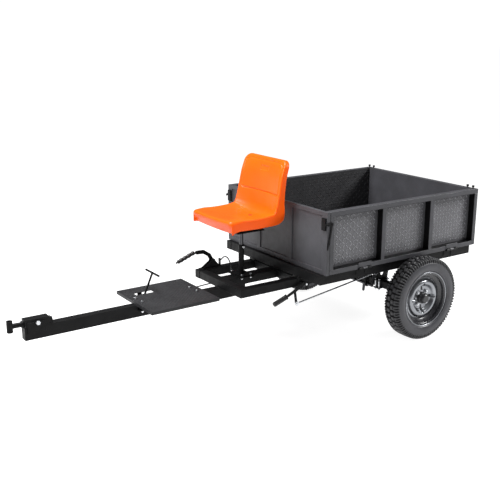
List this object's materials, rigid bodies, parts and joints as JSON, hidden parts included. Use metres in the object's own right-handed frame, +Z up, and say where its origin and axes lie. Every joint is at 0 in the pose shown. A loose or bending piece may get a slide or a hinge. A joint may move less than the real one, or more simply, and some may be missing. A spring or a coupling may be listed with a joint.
{
  "type": "tow behind cart",
  "caption": "Ride-on tipping trailer with drop sides, tailgate, swivel drawbar hitch, height-adjustable seat, footplate, brake pedal and hand brake levers.",
  "frame": {"origin": "middle of the overall box in plan, on the ground under the tyres", "axes": "+X rearwards from the hitch to the tailgate, +Z up, -Y the left-hand side"},
  "size_m": [2.9474, 1.282, 1.131],
  "materials": {
    "black_frame_paint": "satin black paint",
    "grey_panel_paint": "satin mid grey paint",
    "chequer_sheet": "chequer sheet, dark grey paint",
    "footplate_sheet": "fine tread sheet, dark paint",
    "dark_steel": "dark oiled steel",
    "zinc_steel": "zinc plated",
    "rim_metal": "metallic grey paint",
    "drum_iron": "machined and painted",
    "tyre_rubber": "moulded rubber",
    "black_rubber": "ribbed rubber",
    "seat_plastic": "glossy moulded orange",
    "cable_cover": "smooth black cable cover",
    "brake_lining": "pressed lining",
    "button_plastic": "fine grained"
  },
  "bodies": {
    "chassis": {"drawbar": "black_frame_paint", "hitch_housing": "black_frame_paint", "side_rails": "black_frame_paint", "cross_members": "black_frame_paint", "seat_beam": "black_frame_paint", "footplate": "footplate_sheet", "footplate_brackets": "black_frame_paint", "frame_bolts": "zinc_steel", "axle_beam": "black_frame_paint", "axle_hangers": "black_frame_paint", "brake_backplates": "dark_steel", "brake_shoes": "brake_lining", "hub_bearings": "zinc_steel", "tip_hinge_ears": "black_frame_paint", "rest_pads": "black_rubber", "seat_post_outer": "black_frame_paint", "brake_cables": "cable_cover", "brake_lever_bracket": "black_frame_paint", "brake_shaft_brackets": "black_frame_paint", "parking_lever_bracket": "black_frame_paint"},
    "coupler": {"hitch_coupler": "black_frame_paint"},
    "seat": {"seat_post_inner": "dark_steel", "seat_mount_plate": "black_frame_paint", "seat_shell": "seat_plastic"},
    "pedal": {"pedal_arm": "black_frame_paint"},
    "pedal_cable": {"pedal_wire": "zinc_steel"},
    "hand_brake": {"brake_lever": "black_frame_paint", "brake_lever_grip": "black_rubber"},
    "pull_rod": {"brake_rod": "zinc_steel"},
    "brake_cross_shaft": {"brake_shaft": "dark_steel"},
    "parking_brake": {"parking_lever": "black_frame_paint", "parking_grip": "black_rubber"},
    "release_button": {"parking_button": "button_plastic"},
    "wheel_left": {"tyre_left": "tyre_rubber", "rim_left": "rim_metal", "hub_left": "drum_iron", "wheel_nuts_left": "zinc_steel"},
    "wheel_right": {"tyre_right": "tyre_rubber", "rim_right": "rim_metal", "hub_right": "drum_iron", "wheel_nuts_right": "zinc_steel"},
    "box": {"box_rails": "black_frame_paint", "box_cross_members": "black_frame_paint", "box_floor": "chequer_sheet", "headboard": "grey_panel_paint", "box_hinges": "black_frame_paint", "latch_keepers": "black_frame_paint"},
    "side_left": {"side_left_frame": "grey_panel_paint", "side_left_sheet": "chequer_sheet", "side_left_fittings": "black_frame_paint"},
    "side_right": {"side_right_frame": "grey_panel_paint", "side_right_sheet": "chequer_sheet", "side_right_fittings": "black_frame_paint"},
    "tailgate": {"tailgate_frame": "grey_panel_paint", "tailgate_sheet": "grey_panel_paint"},
    "front_latch_left": {"latch_left": "black_frame_paint"},
    "front_latch_right": {"latch_right": "black_frame_paint"},
    "tail_bolt_left": {"slide_bolt_left": "black_frame_paint"},
    "tail_bolt_right": {"slide_bolt_right": "black_frame_paint"}
  },
  "joints": [
    {"name": "hitch_swivel", "type": "hinge", "parent": "chassis", "child": "coupler", "pos_m": [-1.38575, 0, 0.389], "axis": [1, 0, 0], "range_deg": [-45, 45]},
    {"name": "seat_height", "type": "slide", "parent": "chassis", "child": "seat", "axis": [0, 0, 1], "range_m": [-0.05, 0.06]},
    {"name": "foot_pedal", "type": "hinge", "parent": "chassis", "child": "pedal", "pos_m": [-0.65075, 0.105, 0.33], "axis": [0, -1, 0], "range_deg": [0, 34], "stiffness_Nm_per_rad": 4, "springref_deg": -20.05},
    {"name": "pedal_wire_pull", "type": "slide", "parent": "chassis", "child": "pedal_cable", "axis": [-1, 0, 0], "range_m": [0, 0.022]},
    {"name": "hand_brake_lift", "type": "hinge", "parent": "chassis", "child": "hand_brake", "pos_m": [0.24625, -0.279, 0.395], "axis": [0, 1, 0], "range_deg": [0, 25]},
    {"name": "pull_rod_pivot", "type": "hinge", "parent": "hand_brake", "child": "pull_rod", "pos_m": [0.18325, -0.288, 0.278], "axis": [0, 1, 0], "range_deg": [-25, 1]},
    {"name": "brake_shaft_turn", "type": "hinge", "parent": "chassis", "child": "brake_cross_shaft", "pos_m": [0.79455, 0, 0.2772], "axis": [0, 1, 0], "range_deg": [-28, 1]},
    {"name": "parking_lever_lift", "type": "hinge", "parent": "chassis", "child": "parking_brake", "pos_m": [-0.09175, 0.232, 0.466], "axis": [0, 1, 0], "range_deg": [0, 45]},
    {"name": "parking_button_press", "type": "slide", "parent": "parking_brake", "child": "release_button", "axis": [0.9336, 0, 0.3584], "range_m": [0, 0.006], "stiffness_N_per_m": 400, "springref_m": -0.002},
    {"name": "wheel_left_spin", "type": "hinge", "parent": "chassis", "child": "wheel_left", "pos_m": [0.92025, -0.582, 0.26], "axis": [0, 1, 0], "continuous": true},
    {"name": "wheel_right_spin", "type": "hinge", "parent": "chassis", "child": "wheel_right", "pos_m": [0.92025, 0.582, 0.26], "axis": [0, 1, 0], "continuous": true},
    {"name": "box_tip", "type": "hinge", "parent": "chassis", "child": "box", "pos_m": [1.06425, 0, 0.4325], "axis": [0, 1, 0], "range_deg": [0, 45]},
    {"name": "side_left_drop", "type": "hinge", "parent": "box", "child": "side_left", "pos_m": [0.81425, -0.521, 0.505], "axis": [1, 0, 0], "range_deg": [0, 68]},
    {"name": "side_right_drop", "type": "hinge", "parent": "box", "child": "side_right", "pos_m": [0.81425, 0.521, 0.505], "axis": [-1, 0, 0], "range_deg": [0, 68]},
    {"name": "tailgate_drop", "type": "hinge", "parent": "box", "child": "tailgate", "pos_m": [1.46825, 0, 0.505], "axis": [0, 1, 0], "range_deg": [0, 165]},
    {"name": "front_latch_left_lift", "type": "hinge", "parent": "side_left", "child": "front_latch_left", "pos_m": [0.24425, -0.519, 0.803], "axis": [0, 1, 0], "range_deg": [0, 50]},
    {"name": "front_latch_right_lift", "type": "hinge", "parent": "side_right", "child": "front_latch_right", "pos_m": [0.24425, 0.519, 0.803], "axis": [0, 1, 0], "range_deg": [0, 50]},
    {"name": "tail_bolt_left_slide", "type": "slide", "parent": "tailgate", "child": "tail_bolt_left", "axis": [0, -1, 0], "range_m": [0, 0.015]},
    {"name": "tail_bolt_right_slide", "type": "slide", "parent": "tailgate", "child": "tail_bolt_right", "axis": [0, 1, 0], "range_m": [0, 0.015]}
  ],
  "couplings": [
    {"joint": "pedal_wire_pull", "follows": "foot_pedal", "m_per_rad": 0.0332},
    {"joint": "pull_rod_pivot", "follows": "hand_brake_lift", "ratio": -0.864},
    {"joint": "brake_shaft_turn", "follows": "hand_brake_lift", "ratio": -1.01}
  ]
}
